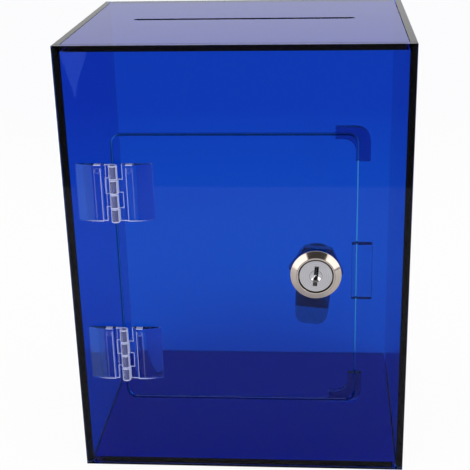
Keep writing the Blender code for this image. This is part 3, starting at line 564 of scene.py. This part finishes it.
keptFinish = {
    blueAcrylic: ["front_panel", "back_panel", "left_panel", "right_panel", "top_panel",
                  "door_panel"],
    brightenedBottomAcrylic: ["bottom_panel"],
    dullAcrylic: ["upper_corner_stop", "lower_corner_stop"],
    clearSheet: ["keeper_plate"],
    metals["stampedNickelSilver"]: [f"wafer_{i}" for i in range(1, 6)],
    metals["drawnSpringSteel"]: [f"wafer_spring_{i}" for i in range(1, 6)],
}
for material, names in keptFinish.items():
    for name in names:
        paint(nodes[name], material)


# Pieces taken from their CAD solids, joined up, smoothed and with their edges eased

zincPlate, springSteel = metals["brightZincPlate"], metals["drawnSpringSteel"]

# each node's body, slot, material and width of the eased edges, and a sharp angle of its own
easedPieces = {
    "upper_hinge_frame_leaf": ("case", "clear_plastic", hingePlastic["upper"], 0.00015),
    "lower_hinge_frame_leaf": ("case", "clear_plastic", hingePlastic["lower"], 0.00015),
    "upper_hinge_door_leaf": ("door", "clear_plastic", hingePlastic["upper"], 0.00015),
    "lower_hinge_door_leaf": ("door", "clear_plastic", hingePlastic["lower"], 0.00015),
    "upper_hinge_pin": ("case", "clear_plastic", pinPlastic, 0.0001),
    "lower_hinge_pin": ("case", "clear_plastic", pinPlastic, 0.0001),
    "lock_toothed_washer": ("door", "zinc_plate", zincPlate, 0.00008),
    "lock_nut": ("door", "zinc_plate", zincPlate, 0.0003),
    "lock_plug": ("lock_core", "satin_nickel", metals["satinTurnedNickel"], 0.00006, 18),
    "stop_washer": ("lock_core", "zinc_plate", zincPlate, 0.0001),
    "cam": ("lock_core", "zinc_plate", zincPlate, 0.0002),
    "cam_spring_washer": ("lock_core", "spring_steel", springSteel, 0.0001),
    "cam_screw": ("lock_core", "zinc_plate", zincPlate, 0.0001),
}

easing = {
    "joined": 0.000002,
    "flatAngle": 0.5,
    "sharpAngle": 30,
    "bevelAngle": 35,
    "segments": 2,
}


def easedCopy(node, body, slotName, material, edge, sharpAngle=easing["sharpAngle"]):
    mesh = smoothMesh(
        f"{node}_eased", nodes[node].data, easing["joined"], sharpAngle, easing["flatAngle"])
    piece = linkPiece(f"{node}_eased", mesh, body, [node], material)
    bevel = piece.modifiers.new("edges", "BEVEL")
    bevel.width = edge
    bevel.segments = easing["segments"]
    bevel.limit_method = "ANGLE"
    bevel.angle_limit = math.radians(easing["bevelAngle"])
    bevel.harden_normals = True


for name, values in easedPieces.items():
    easedCopy(name, *values)
print("hinges, cam and screw eased")


# The lock's housing

housing = {
    "lean": 5.5,
    "bezelRadius": 0.0113,
    "rimHeight": 0.0013,
    "rimRound": 0.0005,
    "rimTurns": (0.35, 1, 6),  # the part of a quarter turn that its round takes, and its rings
    "rimSink": 0.15,  # share of the round's radius by which the rim is let down
    "underside": 0.0003,
    "faceHeight": 0.0035,
    "lipOuter": 0.0085,
    "lipInner": 0.00782,
    "edge": 0.00015,
    "coneRings": (0, 0.03, 0.97),  # those near its ends keep the cone straight to the eye
    "seat": 0.0012,
    "bore": 0.00587,
    "pocketHalfWidth": 0.0025,
    "pocketReach": 0.0069,
    "pocketEnd": -0.0087,
    "barrelRadius": 0.0092,
    "flatReach": 0.008,
    "length": 0.012,
    "threadPitch": 0.001,
    "threadDepth": 0.00045,
    "threadEnds": (0.0004, 0.0003),  # below the bezel and above the barrel's end
    "threadRings": 90,
    "endEdge": 0.0003,
    "boreEdge": 0.0002,
    "stopSector": (118.9, 241.1),  # the stop washer's tab turns in this recess
    "stopDepth": 0.0014,
    "steps": 192,
    "joined": 0.0000001,
    "sharpAngle": 35,
}


def inWorld(x, y, height):
    # the lock's own plane stands upright and leans to the right by the CAD's few degrees
    lean = math.radians(housing["lean"])
    across = x * math.cos(lean) + y * math.sin(lean)
    up = y * math.cos(lean) - x * math.sin(lean)
    return np.stack([lockCentre.x + across, frontY - height, lockCentre.z + up], axis=-1)


def meshFromGrid(name, points):
    # quads between neighbouring rows and columns of a grid of points; rows and columns close
    # on themselves, and the faces are turned outwards by the sign of the volume they enclose
    rows, columns = points.shape[:2]
    index = np.arange(rows * columns).reshape(rows, columns)
    nextColumn = np.roll(index, -1, axis=1)
    quads = np.stack([index, nextColumn, np.roll(nextColumn, -1, axis=0),
                      np.roll(index, -1, axis=0)], axis=-1).reshape(-1, 4)
    corners = points.reshape(-1, 3)
    a, b, c, d = (corners[quads[:, i]] - corners.mean(axis=0) for i in range(4))
    volume = (np.cross(a, b) * c).sum() + (np.cross(a, c) * d).sum()
    if volume < 0:
        quads = quads[:, ::-1]
    grid = bpy.data.meshes.new(f"{name}_grid")
    grid.from_pydata(corners.tolist(), [], quads.tolist())
    mesh = smoothMesh(name, grid, housing["joined"], housing["sharpAngle"])
    bpy.data.meshes.remove(grid)
    return mesh


def makeHousing():
    # one closed profile of radius and height, carried round the axis: coned bezel, threaded
    # barrel with two flats and a recess in its end, and a bore with cross-shaped pockets for
    # the wafers
    h = housing
    angle = np.linspace(0, 2 * np.pi, h["steps"], endpoint=False)
    # a rectangle reaches as far as the nearer of half its width over the cosine and half its
    # height over the sine; the pockets are two of them, crossed, and no nearer than the bore
    tiny = 1e-9
    cosine, sine = np.abs(np.cos(angle)) + tiny, np.abs(np.sin(angle)) + tiny
    upright = np.minimum(h["pocketHalfWidth"] / cosine, h["pocketReach"] / sine)
    level = np.minimum(h["pocketReach"] / cosine, h["pocketHalfWidth"] / sine)
    pockets = np.maximum(h["bore"], np.maximum(upright, level))
    flats = h["flatReach"] / cosine
    first, last = np.radians(h["stopSector"])
    end = -h["length"] + np.where((angle > first) & (angle < last), h["stopDepth"], 0.0)
    endRadius = np.minimum(h["barrelRadius"] - h["endEdge"], flats)
    radii, heights = [], []

    def ring(radius, height):
        radii.append(radius * np.ones_like(angle))
        heights.append(height * np.ones_like(angle))

    edge = h["edge"]
    ring(h["lipInner"], h["faceHeight"] - edge)
    ring(h["lipInner"] + edge, h["faceHeight"])
    ring(h["lipOuter"] - edge, h["faceHeight"])
    # straight cone from the lip to the rim, whose edge is a quarter round
    curve = h["rimRound"]
    turns = np.linspace(*h["rimTurns"]) * np.pi / 2
    roundRadii = h["bezelRadius"] - curve + curve * np.sin(turns)
    roundHeights = h["rimHeight"] + curve * (np.cos(turns) - h["rimSink"])
    coneTop = h["faceHeight"] - 2 * edge
    for share in h["coneRings"]:
        ring(h["lipOuter"] + share * (roundRadii[0] - h["lipOuter"]),
             coneTop + share * (roundHeights[0] - coneTop))
    for radius, height in zip(roundRadii, roundHeights):
        ring(radius, height)
    ring(h["bezelRadius"], h["underside"] + edge)
    ring(h["bezelRadius"] - edge, h["underside"])
    ring(h["barrelRadius"], h["underside"])
    # thread: the radius swings between crest and root once for each pitch of height or turn,
    # fades in and out over one pitch, and the flats cut it off
    above, below = h["threadEnds"]
    for depth in np.linspace(-above, -h["length"] + below, h["threadRings"]):
        phase = (depth / h["threadPitch"] + angle / (2 * np.pi)) % 1
        swing = np.abs(2 * phase - 1)
        fade = min(1, (depth + h["length"]) / h["threadPitch"], -depth / h["threadPitch"])
        threaded = np.minimum(h["barrelRadius"] - h["threadDepth"] * swing * fade, flats)
        ring(np.where(depth < end, endRadius, threaded), np.maximum(depth, end))
    ring(endRadius, end)
    ring(h["bore"] + h["endEdge"], end)
    ring(h["bore"], end + h["boreEdge"])
    ring(h["bore"], h["pocketEnd"])
    ring(pockets, h["pocketEnd"])
    ring(pockets, h["seat"])
    ring(h["lipInner"], h["seat"])
    radius, height = np.array(radii), np.array(heights)
    points = inWorld(radius * np.cos(angle), radius * np.sin(angle), height)
    mesh = meshFromGrid("lock_housing_turned", points)
    linkPiece("lock_housing_turned", mesh, "door", ["lock_housing"],
              metals["brightNickelPlate"])


makeHousing()
print("lock housing made")


# Studio

studio = {
    "floorColour": "#FAFAFA",
    "farShadeColour": "#BCBFEB",  # painted shade: the table is painted dimmer and bluer further back, so what comes through the sheets from behind does too
    "farFrom": (0.2, 0.65),
    "floorFront": -0.487,  # the front sheet mirrors this edge as a level line
    "floorBack": 3.0,
    "floorSide": 2.0,
    "floorHeight": -0.0002,
    "whiteness": 0.95,  # share of plain white in what the camera sees of the floor
    "lampSize": (0.6, 0.88),
    "lampPower": 2.5,
    "lampColour": "#FFFAF4",
    "lampPlaces": ((-0.694, -0.749, 0.44), (0.803, -0.702, 0.5)),
    "plainLight": 0.8,
    # what the camera, gloss and glass see of the room
    "seenLight": {"Is Camera Ray": 1.0, "Is Glossy Ray": 0.72, "Is Transmission Ray": 0.8},
    # each card's colour, strength and corners
    "cards": {
        "aboveTable": ("#4F4D4C", 1.0, [
            (-0.57, -1.1, 0.5), (0.73, -1.1, 0.5), (0.73, -1.1, 2.0), (-0.57, -1.1, 2.0)]),
        "beforeTable": ("#A0A0A6", 1.0, [
            (-4.0, -6.0, -0.02), (4.0, -6.0, -0.02),
            (4.0, -0.487, -0.02), (-4.0, -0.487, -0.02)]),
        "paleCorner": ("#89ADFF", 5.0, [
            (-0.354, -1.179, -0.019), (-0.311, -1.178, -0.019), (-0.299, -1.096, -0.019),
            (-0.285, -0.999, -0.019), (-0.266, -0.891, -0.019)]),
    },
}


def flatSheet(name, corners, material):
    mesh = bpy.data.meshes.new(name)
    mesh.from_pydata(corners, [], [tuple(range(len(corners)))])
    sheet = bpy.data.objects.new(name, mesh)
    bpy.context.scene.collection.objects.link(sheet)
    paint(sheet, material)
    return sheet


def makeFloor():
    s = studio
    material, tree = newMaterial("paleTable")
    place = addNode(tree, "TexCoord", output="Object")
    y = addNode(tree, "SeparateXYZ", [place], "Y")
    # painted shade: the table's colour grows dimmer and bluer towards the back
    far = addNode(tree, "MapRange", [y, *s["farFrom"], 0.0, 1.0])
    near, away = toLinear(s["floorColour"]), toLinear(s["farShadeColour"])
    matt = addNode(tree, "BsdfDiffuse", {
        "Color": addNode(tree, "Mix", {0: far, 6: near, 7: away}, 2, data_type="RGBA")})
    white = addNode(tree, "Emission", {"Color": (1, 1, 1, 1), "Strength": 1.0})
    isCamera = addNode(tree, "LightPath", output="Is Camera Ray")
    share = addNode(tree, "Math", [isCamera, s["whiteness"]], operation="MULTIPLY")
    addNode(tree, "OutputMaterial", [addNode(tree, "MixShader", [share, matt, white])])
    floor = flatSheet("floor", [
        (-s["floorSide"], s["floorFront"], 0), (s["floorSide"], s["floorFront"], 0),
        (s["floorSide"], s["floorBack"], 0), (-s["floorSide"], s["floorBack"], 0)], material)
    floor.location.z = s["floorHeight"]


def makeCards():
    # what the gloss shows of the room: the unlit parts above and before the table, and a small
    # pale blue card that gives the wedge of light at the upper left
    for name, (colour, strength, corners) in studio["cards"].items():
        material, tree = newMaterial(f"{name}Cloth")
        tone = addNode(tree, "Emission", {"Color": toLinear(colour), "Strength": strength})
        addNode(tree, "OutputMaterial", [tone])
        card = flatSheet(name, corners, material)
        for kind in ("camera", "diffuse", "transmission", "volume_scatter", "shadow"):
            setattr(card, f"visible_{kind}", False)


def makeLamps():
    # a softbox on each side, aimed level at the lock
    for i, place in enumerate(studio["lampPlaces"]):
        lamp = bpy.data.lights.new(f"softbox{i}", "AREA")
        lamp.shape = "RECTANGLE"
        lamp.size, lamp.size_y = studio["lampSize"]
        lamp.energy = studio["lampPower"]
        lamp.color = toLinear(studio["lampColour"])[:3]
        obj = bpy.data.objects.new(f"softbox{i}", lamp)
        obj.location = place
        aim = lockCentre - Vector(place)
        aim.z = 0
        obj.rotation_euler = aim.to_track_quat("-Z", "Y").to_euler()
        bpy.context.scene.collection.objects.link(obj)


def makeWorld():
    # even white light; the camera sees plain white, and gloss and glass a little less
    world = bpy.data.worlds.new("studioWhite")
    bpy.context.scene.world = world
    world.use_nodes = True
    tree = world.node_tree
    tree.nodes.clear()
    rays = addNode(tree, "LightPath").node.outputs
    plain = strength = studio["plainLight"]
    for ray, seen in studio["seenLight"].items():
        extra = addNode(tree, "Math", [rays[ray], seen - plain], operation="MULTIPLY")
        strength = addNode(tree, "Math", [extra, strength], operation="ADD")
    light = addNode(tree, "Background", {"Color": (1, 1, 1, 1), "Strength": strength})
    addNode(tree, "OutputWorld", [light])


makeFloor()
makeCards()
makeLamps()
makeWorld()


# Camera, fitted to the corners of the photographed box

cameraValues = {
    "place": (0.03842, -0.49684, 0.28225),
    "right": (0.99763, 0.06608, -0.01921),
    "ahead": (-0.06846, 0.92463, -0.37467),
    "sensor": 36.0,  # millimetres, as the lens
    "lens": 82.6,
    "shift": (-0.03552, 0.05633),
    "clipStart": 0.01,
}


def makeCamera():
    c = cameraValues
    data = bpy.data.cameras.new("camera")
    data.sensor_width = c["sensor"]
    data.lens = c["lens"]
    data.shift_x, data.shift_y = c["shift"]
    data.clip_start = c["clipStart"]
    camera = bpy.data.objects.new("camera", data)
    bpy.context.scene.collection.objects.link(camera)
    ahead = Vector(c["ahead"]).normalized()
    right = Vector(c["right"])
    right = (right - ahead * right.dot(ahead)).normalized()
    up = right.cross(ahead)
    turn = Matrix((right, up, -ahead)).transposed().to_4x4()
    camera.matrix_world = Matrix.Translation(c["place"]) @ turn
    bpy.context.scene.camera = camera


makeCamera()
bpy.context.scene.view_settings.view_transform = "Standard"
print("studio and camera made")

bpy.context.view_layer.update()
